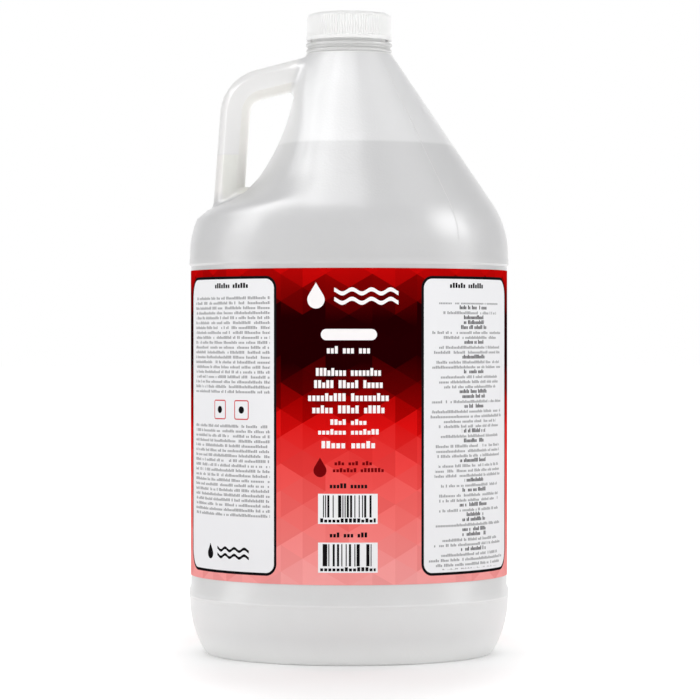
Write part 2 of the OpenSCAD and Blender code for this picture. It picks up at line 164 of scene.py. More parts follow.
class Shader(Tree):
    """A material on its principled surface. Constants are set on the surface's own sockets."""

    def __init__(self, name, **constants):
        self.material = bpy.data.materials.new(name)
        super().__init__(self.material)
        self.surface = self.nodes["Principled BSDF"]
        for socket, value in constants.items():
            self.surface.inputs[socket.replace("_", " ")].default_value = value
        self.place = self.node("TexCoord", output="Object")
        self.x, self.y, self.z = [axis / MM for axis in self.parts(self.place)]

    def parts(self, vector):
        split = self.node("SeparateXYZ", inputs={0: vector})
        outputs = split.socket.node.outputs
        return [Wire(self, outputs[i]) for i in range(3)]

    def chance(self, x, y, z=0.0):
        """A number from 0 to 1 that is fixed for each place."""
        place = self.node("CombineXYZ", inputs={0: x, 1: y, 2: z})
        return self.node("TexWhiteNoise", inputs={"Vector": place}, output="Value")

    def noise(self, scale, detail=2.0):
        """Soft clouds over the piece, so many to a metre."""
        inputs = {"Vector": self.place, "Scale": scale, "Detail": detail}
        return self.node("TexNoise", inputs=inputs)

    def ramp(self, factor, stops, interpolation="LINEAR"):
        settings = {"interpolation": interpolation, "stops": stops}
        return self.node("ValToRGB", settings, {"Fac": factor})

    def smooth(self, value, low, high):
        """0 at low and 1 at high, with a soft start and end."""
        inputs = {"Value": value, "From Min": low, "From Max": high}
        return self.node("MapRange", {"interpolation_type": "SMOOTHSTEP"}, inputs)

    def mix(self, factor, first, second):
        """Two colours mixed: the first where factor is 0, the second where it is 1."""
        inputs = {"Factor": factor}
        for socket, colour in zip(MIX_COLOURS, (first, second)):
            inputs[socket] = colour if isinstance(colour, Wire) else (*colour, 1.0)
        return self.node("Mix", {"data_type": "RGBA"}, inputs, MIX_RESULT)

    def bump(self, height, distance, strength=1.0, normal=None):
        inputs = {"Height": height, "Distance": distance, "Strength": strength}
        if normal:
            inputs["Normal"] = normal
        return self.node("Bump", {}, inputs)

    def set(self, **wires):
        """Feeds what changes over the surface to the shader's own sockets."""
        for socket, wire in wires.items():
            self.feed(self.surface.inputs[socket.replace("_", " ")], wire)


def srgb(red, green, blue):
    """A colour given as it looks on screen, from 0 to 255, on the shader's straight scale."""
    return tuple(
        (v / 255 / 12.92) if v <= 10 else ((v / 255 + 0.055) / 1.055) ** 2.4
        for v in (red, green, blue)
    )


def grey(level):
    """A grey on the shader's straight scale."""
    return (level, level, level)


def between(value, low, high):
    """1 where a value lies between two others, and 0 elsewhere."""
    return (value > low) * (value < high)


# Plastics and bleach, with heights over the floor and widths in millimetres. A pair of numbers is
# where a soft edge starts and ends.

# The liquid's surface shows a little under its solid's level, and lower still in the grip.
SURFACE_DROP = 0.6
SURFACE_SOFTNESS = 0.8
GRIP_SURFACE_DROP = 4.2

# The handle's sides, the grip's leaning inner limit, and the scoop's wall as a point and a slope
HANDLE_SIDES = (11.6, 13.4)
GRIP_INNER_X = -49.9
GRIP_LEAN = 0.1
GRIP_EDGE = (-2.5, 0.0)
GRIP_BORE = (-61.5, -60.1)
GRIP_FOOT = (215.0, 224.0)
SCOOP_WALL_X = -28.2
SCOOP_WALL_Z = 262.8
SCOOP_SLOPE = 0.26
ARM_EDGE = (0.5, 3.0)
ARM_FOOT = (246.0, 250.0)
# How far a face has turned towards the fingers or downwards, as its normal's share of that
# direction. These shaded faces get painted light.
FINGER_SIDE_TURN = (0.1, 0.6)

# Heights under the cap's rim: the neck's lower edge, the groove under the rim and the neck's foot
NECK_EDGE = (7.5, 6.0)
GROOVE_EDGE = (2.6, 1.6)
NECK_FOOT = 6.2
NECK_FOOT_WIDTH = (0.4, 1.1)
GROOVE_RADII = (16.0, 19.0)

# Painted light on the heel and the base below these, painted shade on the lip over the label
# between these
HEEL_EDGE = (2.0, 14.0)
BASE_EDGE = (37.0, 42.0)
LIP_LOW = (60.0, 100.0)
LIP_HIGH = (187.0, 203.0)

# Moulded lines: the ring over the heel, the mould's parting line, and the crease down the cone
HEEL_RING = 28.2
HEEL_RING_WIDTH = (0.1, 0.7)
PARTING_WIDTH = (0.08, 0.3)
CREASE_TURN = math.radians(42.2)
CREASE_WIDTH = (0.1, 0.5)
CREASE_LOW = (196.0, 201.0)
CREASE_CONE = (208.0, 214.0)
CREASE_HIGH = (278.0, 286.0)
# How far the other two lines stand out, as shares of the crease's height
PARTING_HEIGHT = 0.5
HEEL_RING_HEIGHT = 0.6

# How much of each tone shows where it shows most
CLOUD_SHARE = 0.07
LIP_SHARE = 0.35
HEEL_SHARE = 0.5
BASE_SHARE = 0.5
CREASE_SHARE = 0.45
CREASE_SHARE_LOW = 0.4
HEEL_RING_SHARE = 0.3
CAP_CLOUD_SHARE = 0.25
FOAM_CELL_SHARE = 0.3
# What the painted light on the side towards the fingers loses of its share where liquid stands
# behind it
FILLED_LOSS = 0.25

DRY_WALL = srgb(226, 226, 227)
WET_WALL = srgb(207, 207, 208)
DRY_HANDLE = srgb(241, 240, 239)
FILLED_GRIP = srgb(240, 237, 234)
FILLED_BORE = srgb(240, 240, 233)
FINGER_SIDE_PAINTED_LIGHT = srgb(247, 245, 239)
NECK_TONE = srgb(198, 198, 197)
BASE_PAINTED_LIGHT = srgb(240, 240, 239)
LIP_PAINTED_SHADE = srgb(190, 190, 190)
CLOUD_TONE = srgb(180, 180, 180)
CREASE_PAINTED_SHADE = srgb(190, 190, 190)
CREASE_PAINTED_HIGHLIGHT = srgb(240, 240, 240)
HEEL_RING_PAINTED_HIGHLIGHT = srgb(246, 246, 246)
GROOVE_GLOW = grey(0.2)
# The neck's foot has this share of that painted glow.
NECK_FOOT_GLOW = 0.6


def handle_places(shader):
    """Two masks: where the wall is the grip's, and where it is any part of the hollow handle's."""
    x, y, z = shader.x, shader.y, shader.z
    near_middle = 1 - shader.smooth(abs(y), *HANDLE_SIDES)
    inner_x = GRIP_INNER_X + (z - GRIP_FOOT[1]) * GRIP_LEAN
    in_grip = shader.smooth(inner_x - x, *GRIP_EDGE) * near_middle * shader.smooth(z, *GRIP_FOOT)
    wall_x = SCOOP_WALL_X + (z - SCOOP_WALL_Z) * SCOOP_SLOPE
    in_arm = shader.smooth(wall_x - x, *ARM_EDGE) * near_middle * shader.smooth(z, *ARM_FOOT)
    return in_grip, in_arm.most(in_grip)


def wall_tone(shader):
    """The wall's tone, by what stands behind it and where it is, with painted light and shade."""
    x, z = shader.x, shader.z
    in_grip, in_handle = handle_places(shader)
    level = liquid_level - SURFACE_DROP - in_grip * GRIP_SURFACE_DROP
    filled = 1 - shader.smooth(z, level - SURFACE_SOFTNESS, level + SURFACE_SOFTNESS)
    tone = shader.mix(filled, DRY_WALL, WET_WALL)
    # Bleach in the grip is painted paler than in the body: painted light that comes through the
    # thin grip.
    tone = shader.mix(filled * in_grip, tone, FILLED_GRIP)
    tone = shader.mix(filled * in_grip * shader.smooth(x, *GRIP_BORE), tone, FILLED_BORE)

    # The hollow handle holds air and lets more light through than the body that it stands on; that
    # light is painted into its tone.
    tone = shader.mix((1 - filled) * in_handle, tone, DRY_HANDLE)
    # Painted light: faces of the handle turned towards the fingers or downwards are lightened where
    # they stand in shade.
    facing_x, _, facing_z = shader.parts(shader.node("TexCoord", output="Normal"))
    finger_side_painted_light = shader.smooth(facing_x.most(facing_z * -1), *FINGER_SIDE_TURN)
    tone = shader.mix((1 - FILLED_LOSS * filled) * in_handle * finger_side_painted_light, tone, FINGER_SIDE_PAINTED_LIGHT)

    # The neck is greyer.
    neck = shader.smooth(z, *[cap_bottom - below for below in NECK_EDGE])
    tone = shader.mix(neck, tone, NECK_TONE)
    # Painted light: whiter low down, where the heel and base face the shaded floor.
    in_heel = 1 - shader.smooth(z, *HEEL_EDGE)
    in_base = 1 - shader.smooth(z, *BASE_EDGE)
    tone = shader.mix(HEEL_SHARE * in_heel + BASE_SHARE * in_base, tone, BASE_PAINTED_LIGHT)
    # Painted shade darkens the band over the label.
    lip = shader.smooth(z, *LIP_LOW) * (1 - shader.smooth(z, *LIP_HIGH))
    tone = shader.mix(LIP_SHARE * lip, tone, LIP_PAINTED_SHADE)
    return shader.mix(CLOUD_SHARE * shader.noise(scale=60.0, detail=3.0), tone, CLOUD_TONE)


def milky_wall():
    """Natural polyethylene: paler over the air, greyer where bleach wets the wall from inside."""
    shader = Shader(
        "natural_polyethylene",
        Roughness=0.29,
        IOR=1.54,
        Specular_IOR_Level=1.0,
        Subsurface_Weight=0.4,
        Subsurface_Scale=0.004,
        Subsurface_Radius=(1.0, 1.0, 1.0),
        Emission_Strength=1.0,
    )
    x, y, z = shader.x, shader.y, shader.z
    radius = (x * x + y * y).root()
    tone = wall_tone(shader)

    # A fine moulded crease runs down the cone at the front, and its twin at the back.
    turn = x.math("ARCTAN2", abs(y)) - CREASE_TURN
    crease = 1 - shader.smooth(abs(turn * radius), *CREASE_WIDTH)
    crease = crease * shader.smooth(z, *CREASE_LOW) * (1 - shader.smooth(z, *CREASE_HIGH))
    on_cone = shader.smooth(z, *CREASE_CONE)
    crease = crease * (CREASE_SHARE_LOW + (1 - CREASE_SHARE_LOW) * on_cone)
    # The crease's line is painted: a highlight on the cone and shade on the shoulder below.
    crease_painted_light = shader.mix(on_cone, CREASE_PAINTED_SHADE, CREASE_PAINTED_HIGHLIGHT)
    tone = shader.mix(CREASE_SHARE * crease, tone, crease_painted_light)
    # A painted highlight runs along the raised ring over the heel.
    heel_ring = 1 - shader.smooth(abs(z - HEEL_RING), *HEEL_RING_WIDTH)
    tone = shader.mix(HEEL_RING_SHARE * heel_ring, tone, HEEL_RING_PAINTED_HIGHLIGHT)

    # The mould's parting line runs through the handle, over the base and up the far side.
    parting = 1 - shader.smooth(abs(y), *PARTING_WIDTH)
    raised = crease + PARTING_HEIGHT * parting + HEEL_RING_HEIGHT * heel_ring
    sway = shader.noise(scale=45.0, detail=1.0)
    coarse = shader.bump(sway, distance=0.0012, strength=0.4)
    fine = shader.bump(shader.noise(scale=900.0), distance=0.00012, strength=0.5, normal=coarse)
    lines = shader.bump(raised, distance=0.0003, strength=0.6, normal=fine)
    shader.set(Base_Color=tone, Normal=lines)

    # Painted glow stands for light through the thin walls into the grooves under the cap and lower
    # ring.
    under_cap = shader.smooth(z, *[cap_bottom - below for below in GROOVE_EDGE])
    groove = under_cap * between(radius, *GROOVE_RADII)
    foot = 1 - shader.smooth(abs(z - cap_bottom + NECK_FOOT), *NECK_FOOT_WIDTH)
    glow = shader.mix(groove + NECK_FOOT_GLOW * foot, grey(0.0), GROOVE_GLOW)
    shader.set(Emission_Color=glow)
    return shader.material


def cap_plastic():
    shader = Shader(
        "cap_plastic",
        Roughness=0.42,
        IOR=1.5,
        Subsurface_Weight=1.0,
        Subsurface_Scale=0.003,
        Subsurface_Radius=(1.0, 1.0, 1.0),
    )
    cloud = shader.noise(scale=160.0)
    tone = shader.mix(CAP_CLOUD_SHARE * cloud, srgb(243, 243, 242), srgb(238, 238, 236))
    grain = shader.bump(shader.noise(scale=1400.0), distance=0.00006, strength=0.4)
    shader.set(Base_Color=tone, Normal=grain)
    return shader.material


def liner_foam():
    shader = Shader("liner_foam", Roughness=0.8)
    cells = shader.node("TexVoronoi", inputs={"Vector": shader.place, "Scale": 1800.0})
    tone = shader.mix(cells * FOAM_CELL_SHARE, srgb(232, 232, 228), srgb(206, 206, 200))
    shader.set(Base_Color=tone, Normal=shader.bump(cells, distance=0.0001, strength=0.5))
    return shader.material


def bleach():
    shader = Shader("bleach", Roughness=0.05, IOR=1.34)
    depth = shader.smooth(shader.z, 0.0, liquid_level)
    tone = shader.mix(depth, srgb(206, 210, 190), srgb(226, 230, 208))
    ripple = shader.bump(shader.noise(scale=30.0, detail=1.0), distance=0.0002, strength=0.2)
    shader.set(Base_Color=tone, Normal=ripple)
    return shader.material


# Film label, laid out in millimetres: across from the middle of its front, and up from the floor

FACET = 12.5
# A facet's tone follows the height of its middle by this share, and a chance height besides.
FACET_HOLD = 0.7
FACET_SCATTER = 6.0
FACET_SHADE = 0.1
FIELD_TONES = [
    (0.0, srgb(244, 160, 158)),
    (0.2, srgb(240, 112, 108)),
    (0.36, srgb(232, 66, 64)),
    (0.49, srgb(214, 16, 16)),
    (0.56, srgb(160, 3, 3)),
    (0.62, srgb(100, 1, 2)),
    (0.7, srgb(34, 0, 2)),
    (0.85, srgb(34, 0, 2)),
    (0.94, srgb(125, 3, 3)),
    (1.0, srgb(194, 8, 8)),
]

PANEL_MIDDLE = 69.0
PANEL_HALF_WIDTH = 33.0
PANEL_LOW = 42.9
PANEL_HIGH = 179.2
PANEL_INNER_CORNER = 4.4
PANEL_OUTER_CORNER = 9.0
PANEL_OUTLINE = 1.3
PANEL_WHITE = srgb(234, 234, 236)
INK_BLACK = srgb(22, 20, 22)
INK_WHITE = srgb(243, 240, 240)
INK_DARK_RED = srgb(112, 8, 12)
INK_MARK_RED = srgb(205, 60, 66)

# Rows of large blocks from the lowest up: foot, height, pitch, middle, blocks in a group, groups
LARGE_ROWS = [
    (60.0, 2.3, 1.6, 0.0, 3, 3),
    (82.6, 2.3, 1.6, 0.0, 5, 2),
    (90.0, 1.9, 1.6, 4.6, 7, 2),
    (93.2, 1.9, 1.6, 2.2, 3, 3),
    (101.0, 3.3, 2.3, 0.0, 5, 2),
    (107.3, 2.5, 1.9, 0.0, 7, 2),
    (111.8, 2.5, 1.9, 0.0, 4, 2),
    (117.1, 3.6, 2.0, 0.0, 5, 3),
    (122.7, 3.6, 2.0, 0.0, 9, 2),
    (128.7, 3.6, 1.9, 0.0, 5, 3),
    (134.3, 3.6, 1.8, 0.0, 8, 2),
    (144.6, 3.4, 1.85, 0.0, 3, 3),
]
# The rows' numbers are shares of this length, and so is the height that picks a row.
PRINT_SPAN = 200.0
# Free height under the lowest row
FREE_UNDER_ROWS = 2
# The inks of the front's middle change at these heights.
RED_INK_FROM = 87.0
WHITE_INK_FROM = 97.0

# Drops: across and up of the middle, and height. Their ball's radius is a share of the height.
WHITE_DROP = (-15.3, 171.3, 12.0)
RED_DROP = (-13.4, 92.2, 9.0)
PANEL_DROP = (-78.2, 51.6, 7.4)
DROP_BALL = 0.34
# Waves: across and up of the middle, length, and the size that the other numbers are shares of
FRONT_WAVES = (8.2, 171.0, 30.0, 7.2)
PANEL_WAVES = (-61.0, 51.3, 22.0, 5.2)
WAVE_LENGTH = 1.25
WAVE_SWAY = 0.13
WAVE_LIFT = 0.3
WAVE_HALF_LINE = 0.13
BAR_UP = 153.3
BAR_HALF_WIDTH = 13.0
BAR_HALF_HEIGHT = 2.6

# Plain blocks in a row: how much of a step one fills, how many are short, and how short
BLOCK_WIDTH = 0.74
SHORT_ODDS = 0.6
SHORT_HEIGHT = 0.7
# Whole numbers added to steps and rows only choose other chances. They move no block.
FEET_STEP_DRAW = 20
FEET_ROW_DRAW = 5
SMALL_STEP_DRAW = 40
SMALL_RIGHT_DRAW = 60
TOP_ROW_DRAW = 3.0

# Two white blocks, one over the other. STRIPE is for the stripes in them, FEET for the small
# blocks under the stripes.
STRIPES_FOOT = 43.7
STRIPES_TOP = 82.0
STRIPES_REPEAT = 22.45
STRIPES_HEIGHT = 13.9
STRIPES_MIDDLE = -0.5
STRIPES_HALF_WIDTH = 13.8
STRIPE_MIDDLE = -0.85
STRIPE_HALF_WIDTH = 11.3
STRIPE_STEP = 0.5
STRIPE_GAP_ODDS = 0.48
STRIPE_LOW = 3.0
STRIPE_HIGH = 13.2
FEET_MIDDLE = -0.6
FEET_HALF_WIDTH = 13.0
FEET_LOW = 0.7
FEET_SIZE = 1.9

# Rows of small blocks in the two panels. A half width is its least and what chance adds to it.
SMALL_MIDDLE = 67.1
SMALL_PITCH = 2.3
SMALL_STEP = 0.95
SMALL_LOW = 0.3
SMALL_HEIGHT = 1.35
SMALL_HALF_WIDTH = 29
SMALL_LEFT_SPANS = ((67.9, 111.6), (125.5, 171.5))
SMALL_RIGHT_SPAN = (44.0, 168.2)
RAGGED_HALF_WIDTH = (16, 13)
SMALL_SPACE_ODDS = 0.15
SMALL_INK = 0.62
HEADING_ODDS = 0.3
HEADING_HALF_WIDTH = (7, 12)
HEADING_TALLER = 0.5
HEADING_DARKER = 0.34

# The top row of each panel, which is short and in two groups
TOP_ROW_MIDDLE = 62.5
TOP_ROW_FOOT = 175.0
TOP_ROW_HEIGHT = 2.4
TOP_ROW_PITCH = 1.7
TOP_ROW_HALF_STEPS = 7
TOP_ROW_SPACE_STEPS = 0.6

# Two outlined squares with a round spot, side by side on the left panel
SQUARES_MIDDLE = -62.3
SQUARES_UP = 118.2
SQUARES_APART = 7.6
SQUARE_HALF = 4.6
SQUARE_CORNER = 1.2
SQUARE_LINE = 0.55
SPOT_R = 1.7


def facet_field(shader, across, up):
    """Red field that goes from pale to near black and back to red in flat three-sided facets."""
    column = across / (FACET * math.sqrt(3) / 2)
    along = up / FACET - column / 2
    side = (column.fraction() + along.fraction()) > 1.0
    third = (side + 1) / 3
    centre = (along.floor() + third + (column.floor() + third) / 2) * FACET
    pick_one = shader.chance(along.floor(), column.floor(), side)
    height = (1 - FACET_HOLD) * up + FACET_HOLD * centre + (pick_one - 0.5) * FACET_SCATTER
    field = shader.ramp((height - label_bottom) / (label_top - label_bottom), FIELD_TONES)
    return shader.mix(FACET_SHADE * pick_one, field, grey(0.0))


def rounded_box(across, up, half_width, half_height, corner):
    """Distance outwards from the edge of a box with round corners."""
    beside = (abs(across) - (half_width - corner)).most(0.0)
    above = (abs(up) - (half_height - corner)).most(0.0)
    return (beside * beside + above * above).root() - corner


def drop(across, up, middle, middle_up, height):
    """A plain drop with its point up: a ball and the cone that touches it."""
    ball_r = DROP_BALL * height
    reach = height - ball_r
    lean = ball_r / math.sqrt(reach**2 - ball_r**2)
    along = across - middle
    above = up - middle_up + (height / 2 - ball_r)
    ball = (along * along + above * above) < ball_r**2
    point = (abs(along) < (reach - above) * lean) * (above > ball_r**2 / reach)
    return ball.most(point)


def waves(across, up, middle, middle_up, length, size):
    """Two wavy lines, one over the other."""
    along = across - middle
    sway = (along * (2 * math.pi / (WAVE_LENGTH * size))).math("SINE") * (WAVE_SWAY * size)
    off_line = abs(abs(up - middle_up - sway) - WAVE_LIFT * size)
    line = off_line < WAVE_HALF_LINE * size
    return line * (abs(along) < length / 2)


def block_row(shader, step, above, height, row):
    """Plain blocks in a row. A step is one block, and above is the height over the row's foot."""
    tall = shader.chance(step.floor(), row) > SHORT_ODDS
    block_top = (SHORT_HEIGHT + (1 - SHORT_HEIGHT) * tall) * height
    return (step.fraction() < BLOCK_WIDTH) * (above > 0.0) * (above < block_top)


def large_print(shader, across, up):
    """Rows of large blocks down the front. Each row's numbers are colours of a ramp."""
    sizes = [(0.0, grey(0.0))]
    spans = [(0.0, grey(0.0))]
    top = LARGE_ROWS[0][0] - FREE_UNDER_ROWS
    for foot, height, pitch, middle, group, groups in LARGE_ROWS:
        position = (top + foot) / 2 / PRINT_SPAN
        half = ((group + 1) * groups - 1) * pitch / 2
        size = (foot, height, pitch)
        span = (half - middle, half, group + 1)
        sizes.append((position, tuple(number / PRINT_SPAN for number in size)))
        spans.append((position, tuple(number / PRINT_SPAN for number in span)))
        top = foot + height
    position = up / PRINT_SPAN
    foot, height, pitch = shader.parts(shader.ramp(position, sizes, "CONSTANT"))
    start, half, group = shader.parts(shader.ramp(position, spans, "CONSTANT"))
    along = across + start * PRINT_SPAN
    # Under the lowest row all sizes are nothing, so each divisor has a least value.
    step = along / (pitch * PRINT_SPAN).most(0.1)
    group = group * PRINT_SPAN
    # The last step of a group is the space after it.
    in_group = (step.floor() % group.most(1.0)) < (group - 1.5)
    inside = between(along, 0.0, half * (2 * PRINT_SPAN)) * in_group
    return inside * block_row(shader, step, up - foot * PRINT_SPAN, height * PRINT_SPAN, foot)


def front_print(shader, across, up, tone):
    """Large blocks under waves and a bar, and two drops: white, dark red and black downwards."""
    inks = [
        (0.0, INK_BLACK),
        (RED_INK_FROM / PRINT_SPAN, INK_DARK_RED),
        (WHITE_INK_FROM / PRINT_SPAN, INK_WHITE),
    ]
    marks = large_print(shader, across, up)
    marks = marks.most(drop(across, up, *WHITE_DROP)).most(drop(across, up, *RED_DROP))
    bar = rounded_box(across, up - BAR_UP, BAR_HALF_WIDTH, BAR_HALF_HEIGHT, BAR_HALF_HEIGHT) < 0.0
    marks = marks.most(waves(across, up, *FRONT_WAVES)).most(bar)
    return shader.mix(marks, tone, shader.ramp(up / PRINT_SPAN, inks, "CONSTANT"))


def striped_blocks(shader, across, up, tone):
    """White blocks with upright stripes of chance widths and a row of small blocks under them."""
    above = (up - STRIPES_FOOT) % STRIPES_REPEAT
    in_block = (above < STRIPES_HEIGHT) * (abs(across - STRIPES_MIDDLE) < STRIPES_HALF_WIDTH)
    in_block = in_block * between(up, STRIPES_FOOT, STRIPES_TOP)
    upper = up > STRIPES_FOOT + STRIPES_REPEAT
    stripe = shader.chance((across / STRIPE_STEP).floor(), upper) > STRIPE_GAP_ODDS
    stripe = stripe * (abs(across - STRIPE_MIDDLE) < STRIPE_HALF_WIDTH)
    stripe = stripe * between(above, STRIPE_LOW, STRIPE_HIGH)
    step = across / FEET_SIZE + FEET_STEP_DRAW
    feet = block_row(shader, step, above - FEET_LOW, FEET_SIZE, upper + FEET_ROW_DRAW)
    feet = feet * (abs(across - FEET_MIDDLE) < FEET_HALF_WIDTH)
    tone = shader.mix(in_block, tone, PANEL_WHITE)
    return shader.mix(in_block * stripe.most(feet), tone, INK_BLACK)


def small_print(shader, across, up):
    """Rows of small blocks in the two panels: justified on the left, centred on the right."""
    row_step = (up - PANEL_LOW) / SMALL_PITCH
    row = row_step.floor()
    right = across > 0.0
    pick_row = shader.chance(row, right)
    heading = right * (pick_row < HEADING_ODDS)
    heading_half = HEADING_HALF_WIDTH[0] + HEADING_HALF_WIDTH[1] * pick_row
    row_half = RAGGED_HALF_WIDTH[0] + RAGGED_HALF_WIDTH[1] * pick_row
    ragged = heading * heading_half + (1 - heading) * row_half
    half = SMALL_HALF_WIDTH + right * (ragged - SMALL_HALF_WIDTH)
    left_rows = between(up, *SMALL_LEFT_SPANS[0]) + between(up, *SMALL_LEFT_SPANS[1])
    right_rows = between(up, *SMALL_RIGHT_SPAN)
    along = abs(across) - SMALL_MIDDLE
    inside = (abs(along) < half) * (left_rows * (1 - right) + right_rows * right)
    step = along / SMALL_STEP + SMALL_STEP_DRAW
    above = row_step.fraction() * SMALL_PITCH - SMALL_LOW
    height = SMALL_HEIGHT + HEADING_TALLER * heading
    blocks = block_row(shader, step, above, height, row + SMALL_RIGHT_DRAW * right)
    in_group = shader.chance(step.floor(), row, right) > SMALL_SPACE_ODDS
    return blocks * inside * in_group * (SMALL_INK + HEADING_DARKER * heading)


def panel_print(shader, across, up, tone):
    """The rest of the panels: their top rows, two outlined squares, a drop and waves."""
    step = (abs(across) - TOP_ROW_MIDDLE) / TOP_ROW_PITCH
    top_row = block_row(shader, step, up - TOP_ROW_FOOT, TOP_ROW_HEIGHT, TOP_ROW_DRAW)
    top_row = top_row * (abs(step) < TOP_ROW_HALF_STEPS)
    top_row = top_row * (abs(step + 0.5) > TOP_ROW_SPACE_STEPS)
    marks = top_row.most(waves(across, up, *PANEL_WAVES)).most(drop(across, up, *PANEL_DROP))
    tone = shader.mix(marks, tone, INK_BLACK)

    beside = abs(across - SQUARES_MIDDLE) - SQUARES_APART
    above = up - SQUARES_UP
    edge = rounded_box(beside, above, SQUARE_HALF, SQUARE_HALF, SQUARE_CORNER)
    tone = shader.mix(between(edge, -SQUARE_LINE, 0.0), tone, INK_MARK_RED)
    spot = (beside * beside + above * above) < SPOT_R**2
    return shader.mix(spot, tone, INK_BLACK)


def label_film():
    shader = Shader("label_film", Roughness=0.42, IOR=1.5, Specular_IOR_Level=0.0)
    across = shader.x.math("ARCTAN2", shader.y * -1) * label_r
    up = shader.z
    tone = facet_field(shader, across, up)
    tone = front_print(shader, across, up, tone)
    tone = striped_blocks(shader, across, up, tone)

    middle = (PANEL_LOW + PANEL_HIGH) / 2
    half_height = (PANEL_HIGH - PANEL_LOW) / 2
    beside = abs(across) - PANEL_MIDDLE
    corner = PANEL_INNER_CORNER + (beside > 0.0) * (PANEL_OUTER_CORNER - PANEL_INNER_CORNER)
    edge = rounded_box(beside, up - middle, PANEL_HALF_WIDTH, half_height, corner)
    printed = shader.mix(small_print(shader, across, up), PANEL_WHITE, INK_BLACK)
    printed = panel_print(shader, across, up, printed)
    tone = shader.mix(edge < PANEL_OUTLINE, tone, INK_BLACK)
    tone = shader.mix(edge < 0.0, tone, printed)

    sway = shader.bump(shader.noise(scale=35.0, detail=1.0), distance=0.0004, strength=0.2)
    shader.set(Base_Color=tone, Normal=sway)
    return shader.material


# Pieces

SMOOTH_ANGLE = 32
# Corners closer than this, in metres, are one.
MERGE_DISTANCE = 1e-6

THREAD_PITCH = 4.233
THREAD_TURNS = 1.2
THREAD_STEPS_A_TURN = 60
THREAD_TAPER_STEPS = 5
THREAD_SMOOTH_ANGLE = 40
# How deep a ridge's root is sunk into its wall
THREAD_SINK = 0.2
# How far under the neck's lip the neck's thread starts
THREAD_DROP = 7.6

# For each thread: its wall's radius, how far it stands out, and its width at the root and crest
NECK_RIDGE = (17.55, 1.2, 1.9, 0.9)
CAP_RIDGE = (19.0, -1.05, 1.7, 0.8)


def deselect():
    bpy.ops.object.select_all(action="DESELECT")


def pick(piece):
    deselect()
    piece.select_set(True)
    bpy.context.view_layer.objects.active = piece


def dress(piece, material):
    piece.data.materials.clear()
    piece.data.materials.append(material)


def smooth_copy(node, name):
    """A copy of a CAD node with its triangles merged and its curved faces shaded smooth."""
    piece = bpy.data.objects.new(name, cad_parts[node].data.copy())
    bpy.context.scene.collection.objects.link(piece)
    pick(piece)
    bpy.ops.mesh.customdata_custom_splitnormals_clear()
    bpy.ops.object.mode_set(mode="EDIT")
    bpy.ops.mesh.select_all(action="SELECT")
    bpy.ops.mesh.remove_doubles(threshold=MERGE_DISTANCE)
    bpy.ops.object.mode_set(mode="OBJECT")
    bpy.ops.object.shade_smooth_by_angle(angle=math.radians(SMOOTH_ANGLE))
    return piece


def thread_ridge(name, wall_r, out, root_w, crest_w, start_z):
    """A ridge that climbs round the axis from its wall, outwards where out is positive."""
    sunk_r = wall_r - math.copysign(THREAD_SINK, out)
    deselect()
    bpy.ops.mesh.primitive_plane_add(size=1)
    ridge = bpy.context.active_object
    ridge.name = name
    for corner in ridge.data.vertices:
        at_crest = corner.co.x > 0
        width = crest_w if at_crest else root_w
        side = math.copysign(width / 2, corner.co.y)
        corner.co = Vector((wall_r + out if at_crest else sunk_r, 0, start_z + side)) * MM
    bpy.ops.object.mode_set(mode="EDIT")
    bpy.ops.mesh.select_all(action="SELECT")
    bpy.ops.mesh.delete(type="ONLY_FACE")
    bpy.ops.object.mode_set(mode="OBJECT")
    climb = ridge.modifiers.new("climb", "SCREW")
    climb.axis = "Z"
    climb.angle = 2 * math.pi * THREAD_TURNS
    climb.screw_offset = THREAD_PITCH * THREAD_TURNS * MM
    climb.steps = round(THREAD_STEPS_A_TURN * THREAD_TURNS)
    climb.render_steps = climb.steps
    bpy.ops.object.modifier_apply(modifier="climb")

    # The ridge sinks into its wall over the last few steps at both ends, and is closed there.
    # Each step has the four corners of the ridge's outline.
    corners = ridge.data.vertices
    last = len(corners) // 4 - 1
    for corner in corners:
        step = corner.index // 4
        share = min(1, step / THREAD_TAPER_STEPS, (last - step) / THREAD_TAPER_STEPS)
        radius = math.hypot(corner.co.x, corner.co.y)
        shrunk = sunk_r * MM + (radius - sunk_r * MM) * share
        corner.co.x *= shrunk / radius
        corner.co.y *= shrunk / radius
    bpy.ops.object.mode_set(mode="EDIT")
    bpy.ops.mesh.select_all(action="SELECT")
    bpy.ops.mesh.remove_doubles(threshold=MERGE_DISTANCE)
    bpy.ops.mesh.fill_holes(sides=8)
    bpy.ops.mesh.normals_make_consistent(inside=False)
    # On a long thin ridge the operator can still pick the wrong side.
    if bmesh.from_edit_mesh(ridge.data).calc_volume(signed=True) < 0:
        bpy.ops.mesh.flip_normals()
    bpy.ops.object.mode_set(mode="OBJECT")
    bpy.ops.object.shade_smooth_by_angle(angle=math.radians(THREAD_SMOOTH_ANGLE))
    return ridge


def build_pieces():
    wall_finish = milky_wall()
    cap_finish = cap_plastic()
    thread_start = lip_z - THREAD_DROP

    wall = smooth_copy("bottle", "blown_bottle")
    dress(wall, wall_finish)
    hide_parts("bottle")
    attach(wall, "bottle")

    film = smooth_copy("label", "printed_film")
    dress(film, label_film())
    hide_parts("label")
    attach(film, "bottle")

    neck_thread = thread_ridge("neck_thread", *NECK_RIDGE, thread_start)
    dress(neck_thread, wall_finish)
    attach(neck_thread, "bottle")

    cap = smooth_copy("screw_cap", "ribbed_cap")
    dress(cap, cap_finish)
    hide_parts("screw_cap")
    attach(cap, "cap")

    cap_thread = thread_ridge("cap_thread", *CAP_RIDGE, thread_start - THREAD_PITCH / 2)
    dress(cap_thread, cap_finish)
    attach(cap_thread, "cap")

    dress(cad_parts["liquid"], bleach())
    dress(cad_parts["cap_liner"], liner_foam())


# Studio

